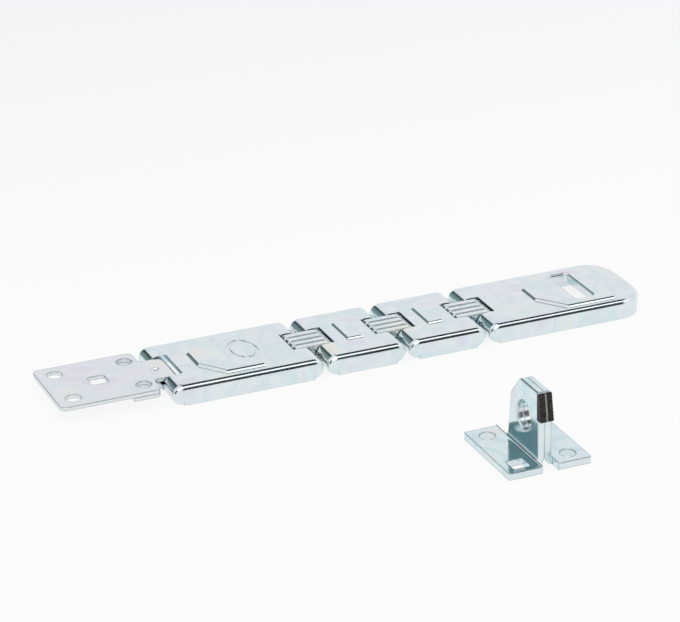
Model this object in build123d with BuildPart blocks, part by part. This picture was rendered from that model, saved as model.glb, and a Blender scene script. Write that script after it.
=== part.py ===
from build123d import *
from math import atan2, degrees, radians, tan
import os

# A jointed hasp with its staple, lying as laid out on a bench: top faces up, the
# staple standing beside the strap. All sizes are millimetres.
# X runs along the strap from the fixed leaf to the slotted end, Y across it, Z up.
# The origin is the middle of the footprint of strap and staple, on the bench.

# Pressed bodies of the strap
body_width = 36.9
body_height = 7.6
sheet = 1.6
shoulder_radius = 2.1
rim_trim = 0.1
curl_lip = 0.6
base_length = 57.9
middle_length = 31.1
slotted_length = 66.5
body_gap = 1.3

# Hinge packs between the bodies
pack_pin_radius = 2.0
plate_end = 3.4
plate_half_height = 3.5
plate_corner_radius = 2.4
plate_thickness = 3.2
plate_spacing = 0.2
plates_per_pack = 4
plate_edge_round = 0.6
pin_clearance = 0.05
pin_end_play = 0.15
cutout_end_clearance = 0.2
cutout_side_clearance = 0.2

# Raised panels pressed up from the top faces
panel_rise = 0.85
panel_draft = 0.75
base_panel_half_length = 14.2
base_panel_half_width = 14.2
base_panel_corner_x = 7.2
base_panel_corner_y = 5.1
slot_panel_half_length = 17.7
slot_panel_half_width = 15.0
slot_panel_corner_x = 9.8
slot_panel_corner_y = 5.0
rib_rise = 0.7
rib_draft = 0.6
panel_bend = 1.6
rib_bend = 1.0
rib_length = 5.3
rib_width = 13.4
ring_from_middle = 4.6
ring_half_length = 5.2
ring_half_width = 7.6
ring_line = 0.9
ring_depth = 0.25

# Slot for the staple, with its drawn collar, and the rounded end past it
slot_width = 7.6
slot_length = 22.0
slot_corner_radius = 1.2
slot_from_end = 23.1
collar_depth = 3.5
collar_wall = 1.4
collar_round = 0.9
end_bulge = 1.9
end_corner_radius = 10.8

# Fixed leaf: one sheet, its tongue rolled round the first pin and doubled back
leaf_sheet = 1.4
leaf_reach = 40.4
leaf_width = 32.2
leaf_shoulder_gap = 3.3
leaf_corner_radius = 2.4
leaf_neck_radius = 1.8
tongue_width = 15.6
tongue_clearance = 0.4
leaf_pin_radius = 2.0
leaf_pin_height = 3.6
leaf_roll_clearance = 0.15
fold_gap = 0.1
return_angle = 41.0
return_bend = 1.2
tail_end_from_body = 13.6
screw_hole_radius = 2.8
screw_spacing_x = 26.0
screw_spacing_y = 20.0
screw_inset = 6.5
bolt_square = 6.4
bolt_square_corner = 1.0
leaf_square_inset = 21.3
dimple_radius = 1.3
dimple_depth = 0.7
dimple_slope = 40.0
dimple_from_body = 0.2

# Staple: two bent plates welded back to back
staple_from_base_end = 96.9
staple_from_strap = 98.0
staple_plate = 2.5
staple_bend = 1.5
wing_reach = 15.5
wing_corner_radius = 0.5
base_depth = 33.5
tab_height = 27.1
tab_shift = -1.5
tab_half_width = 10.9
tab_top_near = 9.6
tab_top_far = 3.2
tab_cheek_far = 9.3
tab_cheek_drop = 7.5
tab_corner_radius = 1.0
wing_relief = 3.0
eye_radius = 5.0
eye_height = 14.8
eye_chamfer = 0.4
staple_hole_radius = 2.85
staple_hole_x = 9.4
staple_hole_y = 11.2
tab_edge_round = 0.9
weld_length = 9.6
weld_from_top = 0.5
weld_root = 0.8
weld_thin_end = 0.15
weld_swell = 1.8
weld_ripple = 0.12
ripple_count = 8
seam_bead_radius = 0.75
seam_bead_waist = 0.62
seam_bead_sink = 0.35

# Worked-out places along the strap
strap_length = leaf_reach + base_length + 2 * middle_length + slotted_length + 3 * body_gap
strap_left = -strap_length / 2
base_left = strap_left + leaf_reach
base_right = base_left + base_length
second_left = base_right + body_gap
third_left = second_left + middle_length + body_gap
slotted_left = third_left + middle_length + body_gap
slotted_right = slotted_left + slotted_length
strap_y = (staple_from_strap + base_depth / 2 - body_width / 2) / 2
staple_x = base_left + staple_from_base_end
staple_y = strap_y - staple_from_strap

# The curled ends: one circle round each cross pin, cut flat at the rim
end_radius = (body_height + rim_trim) / 2
curl_height = body_height - end_radius
curl_inner = end_radius - sheet
ceiling = body_height - sheet
inner_width = body_width - 2 * sheet
pack_pin_height = curl_height + curl_inner - pack_pin_radius - pin_clearance
pack_pitch = body_gap + 2 * end_radius
pin_length = inner_width - 2 * pin_end_play
plate_pitch = plate_thickness + plate_spacing
pack_width = plates_per_pack * plate_pitch - plate_spacing
cutout_width = pack_width + 2 * cutout_side_clearance
cutout_depth = end_radius + plate_end + cutout_end_clearance

# The rolled tongue
roll_inner = leaf_pin_radius + pin_clearance
roll_middle = roll_inner + leaf_sheet / 2
roll_outer = roll_inner + leaf_sheet
leaf_top = leaf_pin_height + roll_outer
leaf_pin_x = base_left + end_radius
tongue_cutout_width = tongue_width + 2 * tongue_clearance
tongue_cutout_depth = end_radius + roll_outer + leaf_roll_clearance
screws_x = strap_left + screw_inset + screw_spacing_x / 2
slot_x = slotted_right - slot_from_end

# How far a cut runs past the face that it opens
past = 1.0

side_plane = Plane(origin=(0, strap_y, 0), x_dir=(1, 0, 0), z_dir=(0, -1, 0))
os.makedirs("parts", exist_ok=True)


def plan(height, x=0.0, y=strap_y):
    """Horizontal plane at a height, over a point of the strap's centre line unless y says another."""
    return Plane(origin=(x, y, height))


def stadium(left, length, radius, width, mode=Mode.ADD):
    """Bar across the strap whose two ends are round, seen from the side."""
    with BuildSketch(side_plane) as profile:
        with Locations((left + length / 2, curl_height)):
            SlotOverall(length, 2 * radius)
    extrude(profile.sketch, amount=width / 2, both=True, mode=mode)


def block(plane, length, width, height, mode=Mode.ADD):
    """Box that stands on the middle of a plane."""
    with BuildSketch(plane) as base:
        Rectangle(length, width)
    extrude(base.sketch, amount=height, mode=mode)


def octagon_panel(centre_x, half_length, half_width, corner_x, corner_y, base_height, grow, mode=Mode.ADD):
    """Eight-sided panel with sloped risers, its foot grown outwards by the draft and grow."""
    reach = panel_draft + grow
    x_far, y_far = half_length + reach, half_width + reach
    x_near, y_near = corner_x + reach / 2, corner_y + reach / 2
    with BuildSketch(plan(base_height, centre_x)) as foot:
        with BuildLine():
            Polyline(
                (x_far, -y_near), (x_far, y_near), (x_near, y_far), (-x_near, y_far),
                (-x_far, y_near), (-x_far, -y_near), (-x_near, -y_far), (x_near, -y_far),
                close=True,
            )
        make_face()
    slope = degrees(atan2(panel_draft, panel_rise))
    extrude(foot.sketch, amount=panel_rise, taper=slope, mode=mode)


def rib(centre_x, base_height, grow, mode=Mode.ADD):
    """Sloped bar across a middle body."""
    reach = 2 * (rib_draft + grow)
    with BuildSketch(plan(base_height, centre_x)) as foot:
        Rectangle(rib_length + reach, rib_width + reach)
    slope = degrees(atan2(rib_draft, rib_rise))
    extrude(foot.sketch, amount=rib_rise, taper=slope, mode=mode)


def pack_cutout(edge_x):
    """Pocket through the end of a body, which a hinge pack turns in."""
    block(plan(-past, edge_x), 2 * cutout_depth, cutout_width, body_height + 2 * past, mode=Mode.SUBTRACT)


def curled_form(left, length):
    """Outer form of a body with both ends curled: rounded bar, with straight walls down to the rim."""
    stadium(left, length, end_radius, body_width)
    fillet(faces().filter_by(Axis.Y).edges(), shoulder_radius)
    block(plan(0, left + length / 2), length - 2 * end_radius, body_width, curl_height)
    split(bisect_by=Plane.XY, keep=Keep.TOP)


def curled_hollow(left, length):
    """Hollow of a body with both ends curled, open between the lips of the curls."""
    stadium(left + sheet, length - 2 * sheet, curl_inner, inner_width, mode=Mode.SUBTRACT)
    mouth = length - 2 * (end_radius + curl_lip)
    block(plan(-past, left + length / 2), mouth, inner_width, past + curl_height, mode=Mode.SUBTRACT)


# Base body: the leaf's tongue enters its left end and the first pack its right end
base_middle = base_left + base_length / 2
base_panel = (base_panel_half_length, base_panel_half_width, base_panel_corner_x, base_panel_corner_y)
with BuildPart() as base_link_shell:
    curled_form(base_left, base_length)
    octagon_panel(base_middle, *base_panel, body_height, 0)
    fillet(faces().sort_by(Axis.Z)[-1].edges(), panel_bend)
    curled_hollow(base_left, base_length)
    octagon_panel(base_middle, *base_panel, ceiling, -panel_draft / 2, mode=Mode.SUBTRACT)
    with BuildSketch(plan(body_height + panel_rise, base_middle)):
        with Locations((ring_from_middle, 0)):
            Ellipse(ring_half_length, ring_half_width)
            Ellipse(ring_half_length - ring_line, ring_half_width - ring_line, mode=Mode.SUBTRACT)
    extrude(amount=-ring_depth, mode=Mode.SUBTRACT)
    tongue_pocket = 2 * tongue_cutout_depth, tongue_cutout_width, body_height + 2 * past
    block(plan(-past, base_left), *tongue_pocket, mode=Mode.SUBTRACT)
    pack_cutout(base_right)
base_link_shell.part.label = "base_link_shell"
export_step(base_link_shell.part, "parts/base_link_shell.step")

# Two short middle bodies, each with a rib across its top
for number, left in ((1, second_left), (2, third_left)):
    middle = left + middle_length / 2
    with BuildPart() as middle_link_shell:
        curled_form(left, middle_length)
        rib(middle, body_height, 0)
        fillet(faces().sort_by(Axis.Z)[-1].edges(), rib_bend)
        curled_hollow(left, middle_length)
        rib(middle, ceiling, -rib_draft / 2, mode=Mode.SUBTRACT)
        pack_cutout(left)
        pack_cutout(left + middle_length)
    middle_link_shell.part.label = f"middle_link_shell_{number}"
    export_step(middle_link_shell.part, f"parts/middle_link_shell_{number}.step")

# Slotted body: curled on the left, a rounded skirt on the right, and the slot with its collar
skirt_left = slotted_left + end_radius
curl_end = slotted_left + 2 * end_radius
slot_panel = (slot_panel_half_length, slot_panel_half_width, slot_panel_corner_x, slot_panel_corner_y)
slot_top = body_height + panel_rise


def skirt_outline(left, inset):
    """Plan of the slotted body with its blunt rounded end, drawn on the sketch being made."""
    half = body_width / 2 - inset
    end = slotted_right - inset
    with BuildLine() as edge:
        Polyline((end - end_bulge, half), (left, half), (left, -half), (end - end_bulge, -half))
        ThreePointArc((end - end_bulge, -half), (end, 0), (end - end_bulge, half))
    make_face(edge.line.edges())
    fillet(vertices().group_by(Axis.X)[-1], end_corner_radius - inset)


with BuildPart() as skirt_form:
    with BuildSketch(plan(0)):
        skirt_outline(skirt_left, 0)
    extrude(amount=body_height)
    fillet(faces().sort_by(Axis.Z)[-1].edges().sort_by(Axis.X)[1:], shoulder_radius)

with BuildPart() as slotted_link_shell:
    stadium(slotted_left, 4 * end_radius, end_radius, body_width)
    fillet(faces().filter_by(Axis.Y).edges(), shoulder_radius)
    split(bisect_by=Plane.YZ.offset(curl_end), keep=Keep.BOTTOM)
    split(bisect_by=Plane.XY, keep=Keep.TOP)
    add(skirt_form.part)
    octagon_panel(slot_x, *slot_panel, body_height, 0)
    fillet(faces().sort_by(Axis.Z)[-1].edges(), panel_bend)
    stadium(slotted_left + sheet, 4 * end_radius, curl_inner, inner_width, mode=Mode.SUBTRACT)
    with BuildSketch(plan(-past)):
        skirt_outline(skirt_left + curl_lip, sheet)
    extrude(amount=past + ceiling, mode=Mode.SUBTRACT)
    octagon_panel(slot_x, *slot_panel, ceiling, -panel_draft / 2, mode=Mode.SUBTRACT)
    with BuildSketch(plan(slot_top, slot_x)):
        collar_corner = slot_corner_radius + collar_wall
        RectangleRounded(slot_width + 2 * collar_wall, slot_length + 2 * collar_wall, collar_corner)
    extrude(amount=-collar_depth)
    with BuildSketch(plan(slot_top, slot_x)):
        RectangleRounded(slot_width, slot_length, slot_corner_radius)
    extrude(amount=-collar_depth, mode=Mode.SUBTRACT)
    mouth = faces().sort_by(Axis.Z)[-1].inner_wires()[0].edges()
    fillet(mouth, collar_round)
    pack_cutout(slotted_left)
slotted_link_shell.part.label = "slotted_link_shell"
export_step(slotted_link_shell.part, "parts/slotted_link_shell.step")

# Fixed leaf, rolled from one strip: top layer, roll round the pin, joggled return, short tail
plate_line = leaf_top - leaf_sheet / 2
tail_line = plate_line - leaf_sheet - fold_gap
leaf_plate_right = base_left - leaf_shoulder_gap
leaf_plate_length = leaf_plate_right - strap_left
tongue_reach = leaf_pin_x + roll_outer + past - strap_left
with BuildPart() as mounting_leaf:
    with BuildSketch(side_plane):
        with BuildLine() as strip:
            Line((strap_left, plate_line), (leaf_pin_x, plate_line))
            roll = CenterArc((leaf_pin_x, leaf_pin_height), roll_middle, 90, -180 - return_angle)
            rise = tail_line - (roll @ 1).Y
            joggle = ((roll @ 1).X - rise / tan(radians(return_angle)), tail_line)
            Polyline(roll @ 1, joggle, (base_left - tail_end_from_body, tail_line))
            fillet(strip.vertices().sort_by_distance(joggle)[0], return_bend)
        trace(strip.line.edges(), line_width=leaf_sheet)
    extrude(amount=leaf_width / 2, both=True)
    with BuildSketch(plan(-past, strap_left)) as leaf_outline:
        with Locations((leaf_plate_length / 2, 0)):
            Rectangle(leaf_plate_length, leaf_width)
        with Locations((tongue_reach / 2, 0)):
            Rectangle(tongue_reach, tongue_width)
        columns = leaf_outline.vertices().group_by(Axis.X)
        shoulders = columns[1].sort_by(Axis.Y)
        fillet(columns[0] + [shoulders[0], shoulders[-1]], leaf_corner_radius)
        necks = leaf_outline.vertices().filter_by(lambda v: abs(abs(v.Y) - tongue_width / 2) < 0.01)
        fillet(necks.sort_by(Axis.X)[:2], leaf_neck_radius)
    extrude(amount=leaf_top + 2 * past, mode=Mode.INTERSECT)
    with BuildSketch(plan(-past, screws_x)):
        with GridLocations(screw_spacing_x, screw_spacing_y, 2, 2):
            Circle(screw_hole_radius)
    extrude(amount=leaf_top + 2 * past, mode=Mode.SUBTRACT)
    with BuildSketch(plan(-past, base_left - leaf_square_inset)):
        RectangleRounded(bolt_square, bolt_square, bolt_square_corner)
    extrude(amount=leaf_top + 2 * past, mode=Mode.SUBTRACT)
    with BuildSketch(plan(leaf_top, base_left + dimple_from_body)):
        Circle(dimple_radius)
    extrude(amount=-dimple_depth, taper=dimple_slope, mode=Mode.SUBTRACT)
mounting_leaf.part.label = "mounting_leaf"
export_step(mounting_leaf.part, "parts/mounting_leaf.step")


def cross_pin(x, height, radius):
    """Plain pin between the side walls, at a place along the strap."""
    with BuildSketch(side_plane) as section:
        with Locations((x, height)):
            Circle(radius)
    extrude(section.sketch, amount=pin_length / 2, both=True)


with BuildPart() as leaf_pin:
    cross_pin(leaf_pin_x, leaf_pin_height, leaf_pin_radius)
leaf_pin.part.label = "leaf_pin"
export_step(leaf_pin.part, "parts/leaf_pin.step")

# Hinge packs: two pins each, and a row of plates that link them
for pack_number, right_body_left in enumerate((second_left, third_left, slotted_left), start=1):
    first_pin_x = right_body_left - body_gap - end_radius
    second_pin_x = right_body_left + end_radius
    for pin_number, pin_x in ((2 * pack_number - 1, first_pin_x), (2 * pack_number, second_pin_x)):
        with BuildPart() as link_pin:
            cross_pin(pin_x, pack_pin_height, pack_pin_radius)
        link_pin.part.label = f"link_pin_{pin_number}"
        export_step(link_pin.part, f"parts/link_pin_{pin_number}.step")
    for index in range(plates_per_pack):
        plate_y = (index + 1) * plate_pitch - plate_spacing - pack_width / 2
        with BuildPart() as pack_plate:
            with BuildSketch(Plane(origin=(0, strap_y - plate_y, 0), x_dir=(1, 0, 0), z_dir=(0, -1, 0))):
                with Locations(((first_pin_x + second_pin_x) / 2, pack_pin_height)):
                    RectangleRounded(pack_pitch + 2 * plate_end, 2 * plate_half_height, plate_corner_radius)
            extrude(amount=-plate_thickness)
            fillet(faces().filter_by(Axis.Y).edges(), plate_edge_round)
            with BuildSketch(side_plane) as bores:
                with Locations((first_pin_x, pack_pin_height), (second_pin_x, pack_pin_height)):
                    Circle(pack_pin_radius + pin_clearance)
            extrude(amount=body_width, both=True, mode=Mode.SUBTRACT)
        pack_plate.part.label = f"pack_{pack_number}_plate_{index + 1}"
        export_step(pack_plate.part, f"parts/pack_{pack_number}_plate_{index + 1}.step")


# Staple weld: a rippled run down the near edge of the seam, proudest at its lower end,
# and a slim bead along its middle
near_top = (tab_shift - tab_top_near, tab_height)
near_foot = (tab_shift - tab_half_width, 0)
weld_top = tab_height - weld_from_top
seam_plane = Plane(origin=(staple_x, staple_y, 0), x_dir=(0, 1, 0), z_dir=(1, 0, 0))


def weld_face(share, proud=0.0):
    """Point on the face of the weld, seen from the side, at a share of its length from the top."""
    height = weld_top - share * weld_length
    edge_y = near_foot[0] + (near_top[0] - near_foot[0]) * height / tab_height
    swell = weld_thin_end + (weld_swell - weld_thin_end) * share
    return edge_y - swell - proud, height


def weld_root_point(share):
    """Point at the root of the weld, inside the edge of the plates."""
    face_y, height = weld_face(share)
    swell = weld_thin_end + (weld_swell - weld_thin_end) * share
    return face_y + swell + weld_root, height


with BuildPart() as staple_weld:
    with BuildSketch(seam_plane) as run_section:
        with BuildLine():
            for ripple in range(ripple_count):
                start = weld_face(ripple / ripple_count)
                crest = weld_face((ripple + 0.5) / ripple_count, weld_ripple)
                ThreePointArc(start, crest, weld_face((ripple + 1) / ripple_count))
            Polyline(weld_face(1), weld_root_point(1), weld_root_point(0), weld_face(0))
        make_face()
    extrude(amount=staple_plate, both=True)
    first = Vector(*weld_face(0.04, -seam_bead_sink))
    last = Vector(*weld_face(0.8, -seam_bead_sink))
    bead_pitch = (last - first).length / ripple_count
    bead_start = seam_plane.from_local_coords(first)
    bead_way = seam_plane.from_local_coords(last) - bead_start
    with BuildSketch(Plane(origin=bead_start, x_dir=bead_way, z_dir=(1, 0, 0))) as bead_section:
        with BuildLine():
            for bead in range(ripple_count):
                left, middle, right = bead * bead_pitch, (bead + 0.5) * bead_pitch, (bead + 1) * bead_pitch
                ThreePointArc((left, seam_bead_waist), (middle, seam_bead_radius), (right, seam_bead_waist))
            Polyline((right, seam_bead_waist), (right, 0), (0, 0), (0, seam_bead_waist))
        make_face()
    revolve(axis=Axis(bead_start, bead_way))
staple_weld.part.label = "staple_weld"
export_step(staple_weld.part, "parts/staple_weld.step")

# Staple plates, each bent outwards from the seam, with a round and a square hole in its wing
for name, side in (("staple_plate_left", -1), ("staple_plate_right", 1)):
    section_plane = Plane(origin=(staple_x, staple_y, 0), x_dir=(side, 0, 0), z_dir=(0, -side, 0))
    with BuildPart() as staple_half:
        with BuildSketch(section_plane) as section:
            with BuildLine():
                Polyline(
                    (0, 0), (wing_reach, 0), (wing_reach, staple_plate), (staple_plate, staple_plate),
                    (staple_plate, tab_height), (0, tab_height), close=True,
                )
            make_face()
            fillet(section.vertices().sort_by_distance((0, 0))[0], staple_plate + staple_bend)
            fillet(section.vertices().sort_by_distance((staple_plate, staple_plate))[0], staple_bend)
            fillet(section.vertices().sort_by_distance((staple_plate, tab_height))[0], tab_edge_round)
        extrude(amount=base_depth / 2, both=True)
        with BuildSketch(seam_plane) as trim:
            with Locations((0, tab_height / 2)):
                Rectangle(base_depth + 2 * past, tab_height + 2 * past)
            with BuildSketch(seam_plane, mode=Mode.SUBTRACT) as tab:
                with BuildLine():
                    Polyline(
                        (tab_shift - tab_half_width, -2 * past),
                        near_foot,
                        near_top,
                        (tab_shift + tab_top_far, tab_height),
                        (tab_shift + tab_cheek_far, tab_height - tab_cheek_drop),
                        (tab_shift + tab_half_width, 0),
                        (tab_shift + tab_half_width, -2 * past),
                        close=True,
                    )
                make_face()
                fillet(tab.vertices().group_by(Axis.Y)[-1], tab_corner_radius)
        extrude(amount=side * wing_relief, mode=Mode.SUBTRACT)
        outer_corners = edges().filter_by(Axis.Z).group_by(Axis.X)[-1 if side > 0 else 0]
        fillet(outer_corners, wing_corner_radius)
        with BuildSketch(seam_plane):
            with Locations((tab_shift, eye_height)):
                Circle(eye_radius)
        extrude(amount=side * wing_relief, mode=Mode.SUBTRACT)
        eye_rim = edges().filter_by(GeomType.CIRCLE).group_by(SortBy.RADIUS)
        eye_rim = [edge for group in eye_rim for edge in group if abs(edge.radius - eye_radius) < 0.001]
        chamfer([edge for edge in eye_rim if abs(edge.center().X - staple_x) > staple_plate / 2], eye_chamfer)
        with BuildSketch(plan(-past, staple_x, staple_y)):
            with Locations((side * staple_hole_x, -side * staple_hole_y)):
                Circle(staple_hole_radius)
            with Locations((side * staple_hole_x, side * staple_hole_y)):
                RectangleRounded(bolt_square, bolt_square, bolt_square_corner)
        extrude(amount=staple_plate + 2 * past, mode=Mode.SUBTRACT)
        add(staple_weld.part, mode=Mode.SUBTRACT)
    staple_half.part.label = name
    export_step(staple_half.part, f"parts/{name}.step")
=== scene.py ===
"""Dresses the jointed hasp and its staple as bright zinc-plated steel, in a small white studio.

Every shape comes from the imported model. This script gives each piece its finish, lays the
floor, sets the light and places the camera. Lengths are metres, and sizes that belong to a
finish are millimetres, as its maker would give them.
"""

from __future__ import annotations

import logging
import math
from dataclasses import dataclass
from enum import Enum
from typing import Any, Iterable

import bpy
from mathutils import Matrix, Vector


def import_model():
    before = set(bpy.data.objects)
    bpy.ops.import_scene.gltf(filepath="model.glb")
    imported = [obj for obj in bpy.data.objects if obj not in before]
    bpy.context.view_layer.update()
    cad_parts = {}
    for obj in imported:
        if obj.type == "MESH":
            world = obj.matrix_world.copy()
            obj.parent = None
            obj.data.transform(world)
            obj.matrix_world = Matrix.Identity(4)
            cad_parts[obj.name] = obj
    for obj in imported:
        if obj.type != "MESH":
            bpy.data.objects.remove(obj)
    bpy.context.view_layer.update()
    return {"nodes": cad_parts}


LOG = logging.getLogger("hasp")
MM = 0.001
# Farther out than any coordinate of a direction, which lies between -1 and 1.
OUTSIDE = 2.0
# Nearly all of a noise pattern lies between these values.
NOISE_SPAN = (0.3, 0.7)
# Sockets of a Mix node that mixes colours: how much of the second one shows, the two colours
# and the result.
SHARE, UNDER, OVER, MIXED = 0, 6, 7, 2

Colour = tuple[float, float, float, float]
Socket = bpy.types.NodeSocket
Tree = bpy.types.NodeTree


class Plating(Enum):
    """The finishes that the steel pieces of the hasp can have, with their materials' names."""

    PRESSED = "blue_passivated_zinc_on_pressed_sheet"
    LEAF = "blue_passivated_zinc_on_rolled_leaf"
    PIN = "zinc_plated_drawn_pin"
    PACK = "zinc_plated_blanked_plate"
    STAPLE = "blue_passivated_zinc_on_bent_plate"
    WELD = "burnt_weld_scale"


def linear(colour: str) -> Colour:
    """Turns an sRGB hex colour into linear RGBA.

    Args:
        colour: Six hex digits after a hash, such as "#dbe4ec".

    Returns:
        The linear red, green, blue and an alpha of 1.
    """
    channels = []
    for start in (1, 3, 5):
        value = int(colour[start:start + 2], 16) / 255
        channels.append(value / 12.92 if value <= 0.04045 else ((value + 0.055) / 1.055) ** 2.4)
    return channels[0], channels[1], channels[2], 1.0


def node(tree: Tree, kind: str, inputs: dict[Any, Any] | None = None, **settings: Any) -> bpy.types.Node:
    """Adds a node with its settings, values and links.

    Args:
        tree: The node tree that gets the node.
        kind: The node's type, without the leading "ShaderNode".
        inputs: Socket name or index, to a value or to the output socket that feeds it.
        **settings: Properties of the node itself.

    Returns:
        The new node.
    """
    made = tree.nodes.new("ShaderNode" + kind)
    for name, value in settings.items():
        setattr(made, name, value)
    for key, value in (inputs or {}).items():
        if isinstance(value, bpy.types.NodeSocket):
            tree.links.new(value, made.inputs[key])
        else:
            made.inputs[key].default_value = value
    return made


def set_ramp(ramp: bpy.types.Node, stops: Iterable[tuple[float, str]]) -> None:
    """Gives a colour ramp its stops.

    Args:
        ramp: A ColorRamp node.
        stops: Position from 0 to 1 and hex colour of each stop, in order.
    """
    elements = ramp.color_ramp.elements
    stops = list(stops)
    while len(elements) < len(stops):
        elements.new(1.0)
    for element, (position, colour) in zip(elements, stops):
        element.position = position
        element.color = linear(colour)


def new_material(name: str) -> tuple[bpy.types.Material, Tree]:
    """Makes a material with an empty node tree.

    Args:
        name: The material's name.

    Returns:
        The material and its tree.
    """
    material = bpy.data.materials.new(name)
    material.use_nodes = True
    material.node_tree.nodes.clear()
    return material, material.node_tree


@dataclass(frozen=True)
class ZincPlate:
    """Bright zinc plating with a clear blue passivate, over pressed or blanked steel.

    The passivate is a very thin film, so the metal looks silvery with patches of pale lilac,
    ice blue and straw. The plating follows the rolled sheet, so it is nearly a mirror. It is
    duller on sheared faces, and painted darker along sharp edges and between two plates: painted shade.

    Attributes:
        silver: Main colour.
        lilac: Colour of the thinnest film.
        ice: Colour of the film between.
        straw: Colour of the thickest film.
        film_steps: Thickness at which lilac, silver, ice, silver again and straw are purest.
        patch_mm: Size of the patches of colour.
        roughness: Mean roughness of a rolled face.
        haze_mm: Size of the spots where the shine varies. The crystals of real plating are
            finer, and they are drawn this coarse so that they show.
        haze_swing: Shares of the mean between which the roughness varies.
        ripple_mm: Length of the sheet's faint waves.
        ripple_height_mm: Height of those waves.
        edge_mm: Radius that the light sees on a sharp edge.
        painted_shade_colour: Colour of the painted shade along edges and in crevices.
        edge_shade_turn: Cosine of the surface's turn where the painted shade on an edge starts and is full.
        edge_shade_share: How strong that painted shade is, from 0 to 1.
        cut_face: Colour of sheared faces, which look along Y.
        cut_lean: How far along Y a face looks where it starts to count as sheared, and does.
        cut_share: How strongly those faces differ, from 0 to 1.
        cut_roughness: How much rougher they are.
        crevice_shade_mm: Reach of the painted shade between neighbouring plates. At 0 there is none.
        crevice_shade_open: Openness of the surface where that painted shade starts and is full.
        crevice_shade_share: How strong that painted shade is, from 0 to 1.
    """

    silver: str = "#e1eaed"
    lilac: str = "#dcdfea"
    ice: str = "#d5e5ea"
    straw: str = "#e5e8e2"
    film_steps: tuple[float, ...] = (0.30, 0.42, 0.52, 0.62, 0.72)
    patch_mm: float = 14.0
    roughness: float = 0.14
    haze_mm: float = 0.6
    haze_swing: tuple[float, float] = (0.8, 1.3)
    ripple_mm: float = 3.0
    ripple_height_mm: float = 0.004
    edge_mm: float = 0.3
    # Painted shade along sharp edges and in crevices: its colour, and where and how strongly it shows on
    # edges.
    painted_shade_colour: str = "#39434a"
    edge_shade_turn: tuple[float, float] = (0.99, 0.8)
    edge_shade_share: float = 0.4
    cut_face: str = "#e4ebeb"
    cut_lean: tuple[float, float] = (0.05, 0.3)
    cut_share: float = 0.0
    cut_roughness: float = 0.2
    # Painted shade in the narrow gaps between plates, taken from ambient occlusion.
    crevice_shade_mm: float = 0.0
    crevice_shade_open: tuple[float, float] = (0.92, 0.55)
    crevice_shade_share: float = 0.95

    def film(self, tree: Tree, place: Socket) -> Socket:
        """Gives the colour of the passivate, which varies with its thickness.

        Args:
            tree: The material's tree.
            place: Object coordinates.

        Returns:
            The colour.
        """
        thickness = node(tree, "TexNoise", {
            "Vector": place,
            "Scale": 1 / (self.patch_mm * MM),
            "Detail": 2.0,
            "Roughness": 0.45,
        })
        colour = node(tree, "ValToRGB", {"Fac": thickness.outputs["Fac"]})
        bands = (self.lilac, self.silver, self.ice, self.silver, self.straw)
        set_ramp(colour, zip(self.film_steps, bands))
        return colour.outputs["Color"]

    def paint_edge_shade(self, tree: Tree, clean: Socket, edge: Socket, shape: Socket) -> Socket:
        """Paints a thin dark line of shade along sharp edges, as painted shade.

        Args:
            tree: The material's tree.
            clean: Colour without the painted shade line.
            edge: Normals with the edges rounded.
            shape: Normals of the shape.

        Returns:
            The colour with the painted shade line.
        """
        turn = node(tree, "VectorMath", {0: edge, 1: shape}, operation="DOT_PRODUCT")
        starts, full = self.edge_shade_turn
        rim = node(tree, "MapRange", {
            "Value": turn.outputs["Value"],
            "From Min": starts,
            "From Max": full,
            "To Max": self.edge_shade_share,
        })
        edge_shaded = node(tree, "Mix", {
            SHARE: rim.outputs["Result"],
            UNDER: clean,
            OVER: linear(self.painted_shade_colour),
        }, data_type="RGBA")
        return edge_shaded.outputs[MIXED]

    def paint_crevice_shade(self, tree: Tree, clean: Socket) -> Socket:
        """Paints shade into the narrow gaps between neighbouring plates, as painted shade.

        Args:
            tree: The material's tree.
            clean: Colour of the open surface.

        Returns:
            The colour with painted shade in the gaps.
        """
        gap = node(tree, "AmbientOcclusion", {"Distance": self.crevice_shade_mm * MM}, samples=8)
        starts, full = self.crevice_shade_open
        shade = node(tree, "MapRange", {
            "Value": gap.outputs["AO"],
            "From Min": starts,
            "From Max": full,
            "To Max": self.crevice_shade_share,
        })
        crevice_shaded = node(tree, "Mix", {
            SHARE: shade.outputs["Result"],
            UNDER: clean,
            OVER: linear(self.painted_shade_colour),
        }, data_type="RGBA")
        return crevice_shaded.outputs[MIXED]

    def find_cut_faces(self, tree: Tree, shape: Socket) -> Socket:
        """Finds the sheared faces of a plate that is bent or rolled about Y.

        Args:
            tree: The material's tree.
            shape: Normals of the shape.

        Returns:
            0 on rolled faces, up to cut_share on sheared ones.
        """
        facing = node(tree, "SeparateXYZ", {"Vector": shape})
        sideways = node(tree, "Math", {0: facing.outputs["Y"]}, operation="ABSOLUTE")
        starts, full = self.cut_lean
        cut = node(tree, "MapRange", {
            "Value": sideways.outputs["Value"],
            "From Min": starts,
            "From Max": full,
            "To Max": self.cut_share,
        })
        return cut.outputs["Result"]

    def dull(self, tree: Tree, place: Socket, cut: Socket) -> Socket:
        """Gives the roughness, which is higher on sheared faces.

        Args:
            tree: The material's tree.
            place: Object coordinates.
            cut: Where the sheared faces are.

        Returns:
            The roughness.
        """
        haze = node(tree, "TexNoise", {"Vector": place, "Scale": 1 / (self.haze_mm * MM), "Detail": 3.0})
        low, high = NOISE_SPAN
        least, most = self.haze_swing
        rolled = node(tree, "MapRange", {
            "Value": haze.outputs["Fac"],
            "From Min": low,
            "From Max": high,
            "To Min": self.roughness * least,
            "To Max": self.roughness * most,
        })
        rough = node(tree, "Math", {
            0: cut,
            1: self.cut_roughness,
            2: rolled.outputs["Result"],
        }, operation="MULTIPLY_ADD")
        return rough.outputs["Value"]

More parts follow.
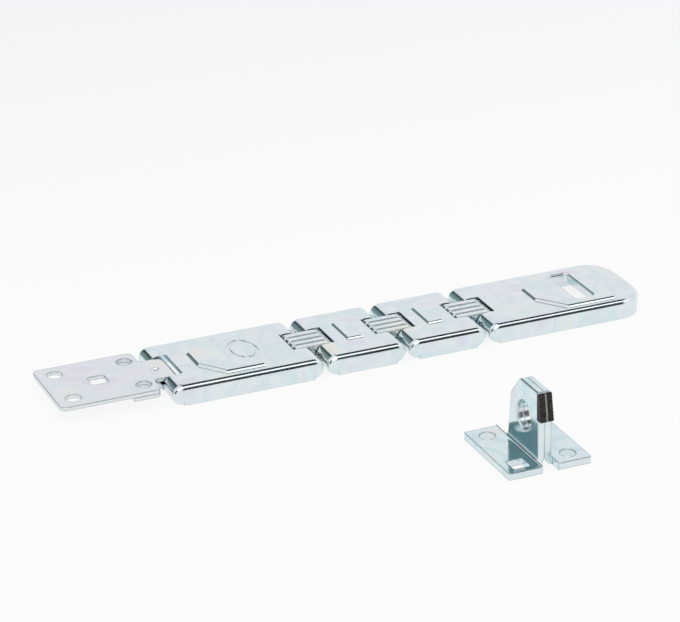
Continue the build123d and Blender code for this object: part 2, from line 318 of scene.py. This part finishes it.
    def build(self, name: str) -> bpy.types.Material:
        """Makes the material.

        Args:
            name: The material's name.

        Returns:
            The new material.
        """
        material, tree = new_material(name)
        place = node(tree, "TexCoord").outputs["Object"]
        shape = node(tree, "NewGeometry").outputs["Normal"]
        edge = node(tree, "Bevel", {"Radius": self.edge_mm * MM}, samples=6).outputs["Normal"]
        ripple = node(tree, "TexNoise", {"Vector": place, "Scale": 1 / (self.ripple_mm * MM), "Detail": 2.0})
        waves = node(tree, "Bump", {
            "Height": ripple.outputs["Fac"],
            "Strength": 1.0,
            "Distance": self.ripple_height_mm * MM,
            "Normal": edge,
        })
        # Painted shade: dark lines along sharp edges, and in the gaps between plates.
        colour = self.paint_edge_shade(tree, self.film(tree, place), edge, shape)
        if self.crevice_shade_mm:
            colour = self.paint_crevice_shade(tree, colour)
        cut = self.find_cut_faces(tree, shape)
        finished = node(tree, "Mix", {
            SHARE: cut,
            UNDER: colour,
            OVER: linear(self.cut_face),
        }, data_type="RGBA")
        shader = node(tree, "BsdfPrincipled", {
            "Base Color": finished.outputs[MIXED],
            "Metallic": 1.0,
            "Roughness": self.dull(tree, place, cut),
            "Normal": waves.outputs["Normal"],
        })
        node(tree, "OutputMaterial", {"Surface": shader.outputs["BSDF"]})
        return material


@dataclass(frozen=True)
class WeldScale:
    """Fusion weld left as it cooled: dark oxide scale with one cleaner bead along its middle.

    The scale eats the light, and only the crests of its grain keep a dull glint.

    Attributes:
        scale: Colour of the burnt oxide.
        crest: Colour of the crests of its grain.
        crest_steps: Height of the grain up to which it is all scale, and from which all crest.
        bead: Colour of the bead along the seam.
        bead_share: Half the bead's width, as a share of the weld's.
        bead_core: Share of that half over which the bead is clean.
        grain_mm: Size of the grain.
        grain_height_mm: Height of the grain.
    """

    scale: str = "#262423"
    crest: str = "#544f4a"
    crest_steps: tuple[float, float] = (0.45, 0.70)
    bead: str = "#8f9692"
    bead_share: float = 0.07
    bead_core: float = 0.6
    grain_mm: float = 0.5
    grain_height_mm: float = 0.05

    def find_bead(self, tree: Tree, span: Socket) -> Socket:
        """Finds the bead, which runs along the middle of the weld.

        Args:
            tree: The material's tree.
            span: Coordinates that go from 0 to 1 over the weld.

        Returns:
            1 on the bead and 0 beside it.
        """
        across = node(tree, "SeparateXYZ", {"Vector": span})
        offset = node(tree, "Math", {0: across.outputs["X"], 1: 0.5}, operation="SUBTRACT")
        distance = node(tree, "Math", {0: offset.outputs["Value"]}, operation="ABSOLUTE")
        middle = node(tree, "MapRange", {
            "Value": distance.outputs["Value"],
            "From Min": self.bead_share * self.bead_core,
            "From Max": self.bead_share,
            "To Min": 1.0,
            "To Max": 0.0,
        })
        return middle.outputs["Result"]

    def build(self, name: str) -> bpy.types.Material:
        """Makes the material.

        Args:
            name: The material's name.

        Returns:
            The new material.
        """
        material, tree = new_material(name)
        place = node(tree, "TexCoord")
        grain = node(tree, "TexNoise", {
            "Vector": place.outputs["Object"],
            "Scale": 1 / (self.grain_mm * MM),
            "Detail": 4.0,
        })
        burnt = node(tree, "ValToRGB", {"Fac": grain.outputs["Fac"]})
        set_ramp(burnt, zip(self.crest_steps, (self.scale, self.crest)))
        colour = node(tree, "Mix", {
            SHARE: self.find_bead(tree, place.outputs["Generated"]),
            UNDER: burnt.outputs["Color"],
            OVER: linear(self.bead),
        }, data_type="RGBA")
        bump = node(tree, "Bump", {
            "Height": grain.outputs["Fac"],
            "Strength": 1.0,
            "Distance": self.grain_height_mm * MM,
        })
        shader = node(tree, "BsdfPrincipled", {
            "Base Color": colour.outputs[MIXED],
            "Metallic": 0.7,
            "Roughness": 0.42,
            "Normal": bump.outputs["Normal"],
        })
        node(tree, "OutputMaterial", {"Surface": shader.outputs["BSDF"]})
        return material


FINISHES: dict[Plating, ZincPlate | WeldScale] = {
    # Deep-drawn sheet: bright all over, with hardly a sharp edge.
    Plating.PRESSED: ZincPlate(edge_mm=0.2, edge_shade_share=0.35),
    # Flat rolled strip with sheared edges and punched holes: bright, with a painted shade line round them.
    Plating.LEAF: ZincPlate(
        silver="#e2e6ec",
        lilac="#dcdeea",
        ice="#dae5ea",
        roughness=0.16,
        edge_mm=0.6,
        edge_shade_share=1.0,
        cut_share=0.6,
    ),
    # Drawn wire, cut to length and barrel plated: a little duller.
    Plating.PIN: ZincPlate(roughness=0.2, edge_mm=0.1),
    # Blanked and tumbled plates that lie side by side, with painted shade between them.
    Plating.PACK: ZincPlate(roughness=0.16, crevice_shade_mm=1.2),
    # Thick sheared plate, bent, welded and then plated: a bluer film and pale cut faces.
    Plating.STAPLE: ZincPlate(
        silver="#d8eaef",
        lilac="#dadfe8",
        ice="#cbe0e7",
        straw="#dde6e6",
        roughness=0.12,
        edge_mm=0.6,
        edge_shade_share=0.9,
        cut_share=0.5,
    ),
    # Burnt scale that the plating bath did not cover: nearly black and rough.
    Plating.WELD: WeldScale(),
}


@dataclass(frozen=True)
class SteelPieces:
    """A sub-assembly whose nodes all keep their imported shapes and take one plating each.

    Attributes:
        title: What the log calls it.
        plating: Finish of each node, by node name.
    """

    title: str
    plating: dict[str, Plating]

    def dress(self, nodes: dict[str, bpy.types.Object], made: dict[Plating, bpy.types.Material]) -> None:
        """Gives every node of the sub-assembly its material.

        Args:
            nodes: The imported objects, by node name.
            made: The built material of each plating.
        """
        for name, plating in self.plating.items():
            for slot in nodes[name].material_slots:
                slot.material = made[plating]
            LOG.info("%s: %s in %s", self.title, name, made[plating].name)


@dataclass(frozen=True)
class Window:
    """A band of directions, between two values of one coordinate.

    Attributes:
        axis: "X", "Y" or "Z".
        low: Where the band starts.
        high: Where it ends.
        soft: Half the width of its fading edges.
    """

    axis: str
    low: float
    high: float
    soft: float

    def opened(self, tree: Tree, way: bpy.types.Node) -> Socket:
        """Gives 1 inside the band and 0 outside it, with soft edges.

        Args:
            tree: The world's tree.
            way: The node that splits the direction into its coordinates.

        Returns:
            The mask.
        """
        value = way.outputs[self.axis]
        rise = node(tree, "MapRange", {
            "Value": value,
            "From Min": self.low - self.soft,
            "From Max": self.low + self.soft,
        }, interpolation_type="SMOOTHSTEP")
        fall = node(tree, "MapRange", {
            "Value": value,
            "From Min": self.high - self.soft,
            "From Max": self.high + self.soft,
            "To Min": 1.0,
            "To Max": 0.0,
        }, interpolation_type="SMOOTHSTEP")
        both = node(tree, "Math", {0: rise.outputs["Result"], 1: fall.outputs["Result"]}, operation="MULTIPLY")
        return both.outputs["Value"]


@dataclass(frozen=True)
class Panel:
    """Something large that hangs round the object and shows in its plating.

    Attributes:
        colour: Hex colour.
        windows: Bands of directions, and it hangs where all of them overlap.
        strength: How much brighter than its colour it shines.
        left_edge: Hex colour towards its left edge, where it has another one.
        fade: X of the direction at which left_edge ends, and at which colour starts.
    """

    colour: str
    windows: tuple[Window, ...]
    strength: float = 1.0
    left_edge: str = ""
    fade: tuple[float, float] = (0.0, 0.0)

    def hang(self, tree: Tree, way: bpy.types.Node, behind: Socket | Colour) -> Socket:
        """Hangs the panel in front of what is already there.

        Args:
            tree: The world's tree.
            way: The node that splits the direction into its coordinates.
            behind: Colour of the surround so far.

        Returns:
            Colour of the surround with the panel.
        """
        if self.left_edge:
            starts, full = self.fade
            share = node(tree, "MapRange", {"Value": way.outputs["X"], "From Min": starts, "From Max": full})
            shaded = node(tree, "ValToRGB", {"Fac": share.outputs["Result"]})
            set_ramp(shaded, ((0.0, self.left_edge), (1.0, self.colour)))
            front: Socket | Colour = shaded.outputs["Color"]
        else:
            red, green, blue, alpha = linear(self.colour)
            front = (red * self.strength, green * self.strength, blue * self.strength, alpha)
        mask, *others = [window.opened(tree, way) for window in self.windows]
        for other in others:
            mask = node(tree, "Math", {0: mask, 1: other}, operation="MULTIPLY").outputs["Value"]
        hung = node(tree, "Mix", {SHARE: mask, UNDER: behind, OVER: front}, data_type="RGBA")
        return hung.outputs[MIXED]


WHITE_SWEEP = "#f9f7f8"
WHITE_BOX = "#ffffff"
BLACK_CLOTH = "#23282b"
TEAL_FLAG = "#38474b"
TEAL_FLAG_EDGE = "#7b9597"
IN_FRONT = Window("Y", -OUTSIDE, -0.27, 0.03)

PANELS: tuple[Panel, ...] = (
    # Teal flag behind on the left: the left slopes of bodies and bars, and the staple's foot.
    Panel(
        TEAL_FLAG,
        (Window("X", -0.62, -0.10, 0.05), Window("Y", 0.70, OUTSIDE, 0.04), Window("Z", 0.04, 0.64, 0.04)),
        left_edge=TEAL_FLAG_EDGE,
        fade=(-0.41, -0.29),
    ),
    # Box of light overhead in front: the bright line along the near shoulders.
    Panel(WHITE_BOX, (IN_FRONT, Window("Z", 0.53, OUTSIDE, 0.015)), strength=1.6),
    # Black cloth below it, and its raised part: the dark band under that line.
    Panel(BLACK_CLOTH, (IN_FRONT, Window("Z", 0.0, 0.55, 0.02), Window("X", 0.20, 0.54, 0.03))),
    Panel(BLACK_CLOTH, (IN_FRONT, Window("Z", 0.5, 0.70, 0.02), Window("X", 0.28, 0.54, 0.03))),
    # Cloth high up behind: the thin line above the slanting sides of the raised shapes.
    Panel(
        BLACK_CLOTH,
        (Window("X", 0.02, 0.24, 0.03), Window("Y", 0.42, 0.76, 0.03), Window("Z", 0.66, 0.9, 0.03)),
    ),
    # Cloth in front on the left: the near left corners of the bodies.
    Panel(
        BLACK_CLOTH,
        (Window("X", -OUTSIDE, -0.60, 0.04), Window("Y", -0.60, -0.18, 0.05), Window("Z", 0.05, 0.62, 0.04)),
    ),
    # Cloth at the zenith on the right: the thin dark line above the near shoulders.
    Panel(
        BLACK_CLOTH,
        (Window("Z", 0.815, OUTSIDE, 0.015), Window("Y", -0.25, OUTSIDE, 0.03), Window("X", 0.20, 0.60, 0.04)),
    ),
)


@dataclass(frozen=True)
class Studio:
    """Plain pale floor, soft surrounding light, and the camera at the photograph's angle.

    Bright plating shows what stands round it. So the surround is a pale sweep with a white
    box of light, black cloth and a teal flag in front of it.

    Attributes:
        floor_near: Hex colour of the paper in front.
        floor_far_shaded: Hex colour of the paper behind, painted darker and bluer as painted shade.
        floor_size: Side of the floor, in metres.
        floor_shade_fade: Y at which that painted shade starts and is full, in metres.
        floor_glow: Share of the light that the backlit paper gives by itself.
        camera_at: The camera's place, in metres.
        pitch_deg: How far it looks down.
        yaw_deg: How far it is turned to the right.
        roll_deg: How far it is rolled.
        lens_mm: Focal length.
        sensor_mm: Width of the sensor.
        sight: Nearest and farthest that it sees, in metres.
    """

    floor_near: str = "#fefefe"
    # The paper behind is painted darker and bluer: painted shade where less light falls.
    floor_far_shaded: str = "#f5f6f8"
    floor_size: float = 6.0
    floor_shade_fade: tuple[float, float] = (0.05, 0.45)
    floor_glow: float = 0.85
    camera_at: tuple[float, float, float] = (-0.3794, -0.7824, 0.4332)
    pitch_deg: float = 24.59
    yaw_deg: float = 24.395
    roll_deg: float = 0.053
    lens_mm: float = 146.71
    sensor_mm: float = 36.0
    sight: tuple[float, float] = (0.01, 20.0)

    def build_floor(self) -> bpy.types.Object:
        """Lays the floor under the object.

        The paper is lit from behind as well, so that it is close to white in the picture and
        in the metal's reflections, with a faint shadow under the object.

        Returns:
            The floor plane.
        """
        bpy.ops.mesh.primitive_plane_add(size=self.floor_size, location=(0, 0, 0))
        floor = bpy.context.object
        floor.name = "studio_floor"
        material, tree = new_material("backlit_white_paper")
        place = node(tree, "TexCoord")
        away = node(tree, "SeparateXYZ", {"Vector": place.outputs["Object"]})
        # Painted shade: the paper darkens towards the back.
        starts, full = self.floor_shade_fade
        share = node(tree, "MapRange", {"Value": away.outputs["Y"], "From Min": starts, "From Max": full})
        tint = node(tree, "ValToRGB", {"Fac": share.outputs["Result"]})
        set_ramp(tint, ((0.0, self.floor_near), (1.0, self.floor_far_shaded)))
        paper = node(tree, "BsdfDiffuse", {"Color": tint.outputs["Color"]})
        glow = node(tree, "Emission", {"Color": tint.outputs["Color"], "Strength": 1.0})
        path = node(tree, "LightPath")
        seen = node(tree, "Math", {
            0: path.outputs["Is Camera Ray"],
            1: path.outputs["Is Glossy Ray"],
        }, operation="MAXIMUM")
        glowing = node(tree, "Math", {0: seen.outputs["Value"], 1: self.floor_glow}, operation="MULTIPLY")
        mixed = node(tree, "MixShader", {
            0: glowing.outputs["Value"],
            1: paper.outputs["BSDF"],
            2: glow.outputs["Emission"],
        })
        node(tree, "OutputMaterial", {"Surface": mixed.outputs["Shader"]})
        floor.data.materials.append(material)
        return floor

    def build_surround(self) -> None:
        """Makes the world: the sweep with its panels, and plain white behind the object."""
        world = bpy.data.worlds.new("studio_surround")
        bpy.context.scene.world = world
        world.use_nodes = True
        tree = world.node_tree
        tree.nodes.clear()
        place = node(tree, "TexCoord")
        way = node(tree, "SeparateXYZ", {"Vector": place.outputs["Generated"]})
        colour: Socket | Colour = linear(WHITE_SWEEP)
        for panel in PANELS:
            colour = panel.hang(tree, way, colour)
        surround = node(tree, "Background", {"Color": colour, "Strength": 1.0})
        backdrop = node(tree, "Background", {"Color": (1.0, 1.0, 1.0, 1.0), "Strength": 1.0})
        path = node(tree, "LightPath")
        seen = node(tree, "MixShader", {
            0: path.outputs["Is Camera Ray"],
            1: surround.outputs["Background"],
            2: backdrop.outputs["Background"],
        })
        node(tree, "OutputWorld", {"Surface": seen.outputs["Shader"]})

    def build_camera(self) -> bpy.types.Object:
        """Places the camera where the photograph was taken from.

        Returns:
            The camera object, made the scene's camera.
        """
        data = bpy.data.cameras.new("photograph_camera")
        data.lens = self.lens_mm
        data.sensor_width = self.sensor_mm
        data.clip_start, data.clip_end = self.sight
        camera = bpy.data.objects.new("photograph_camera", data)
        bpy.context.scene.collection.objects.link(camera)
        camera.location = Vector(self.camera_at)
        camera.rotation_euler = (
            math.radians(90 - self.pitch_deg),
            math.radians(self.roll_deg),
            math.radians(-self.yaw_deg),
        )
        bpy.context.scene.camera = camera
        return camera


def sub_assemblies() -> list[SteelPieces]:
    """Lists the hasp's sub-assemblies from the fixed leaf to the staple.

    Returns:
        One entry for each sub-assembly, with the finish of each of its nodes.
    """
    packs = [
        SteelPieces(
            f"hinge pack {pack}",
            {f"pack_{pack}_plate_{plate}": Plating.PACK for plate in range(1, 5)}
            | {f"link_pin_{pin}": Plating.PIN for pin in (2 * pack - 1, 2 * pack)},
        )
        for pack in (1, 2, 3)
    ]
    return [
        SteelPieces("fixed leaf", {"mounting_leaf": Plating.LEAF, "leaf_pin": Plating.PIN}),
        SteelPieces("base body", {"base_link_shell": Plating.PRESSED}),
        SteelPieces("middle bodies", {
            "middle_link_shell_1": Plating.PRESSED,
            "middle_link_shell_2": Plating.PRESSED,
        }),
        SteelPieces("slotted body", {"slotted_link_shell": Plating.PRESSED}),
        *packs,
        SteelPieces("staple", {
            "staple_plate_left": Plating.STAPLE,
            "staple_plate_right": Plating.STAPLE,
            "staple_weld": Plating.WELD,
        }),
    ]


def main() -> None:
    """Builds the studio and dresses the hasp."""
    logging.basicConfig(level=logging.INFO, format="%(message)s")
    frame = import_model()
    made = {plating: finish.build(plating.value) for plating, finish in FINISHES.items()}
    for assembly in sub_assemblies():
        assembly.dress(frame["nodes"], made)
    studio = Studio()
    studio.build_floor()
    studio.build_surround()
    studio.build_camera()
    bpy.context.scene.view_settings.view_transform = "Standard"


if __name__ == "__main__":
    main()
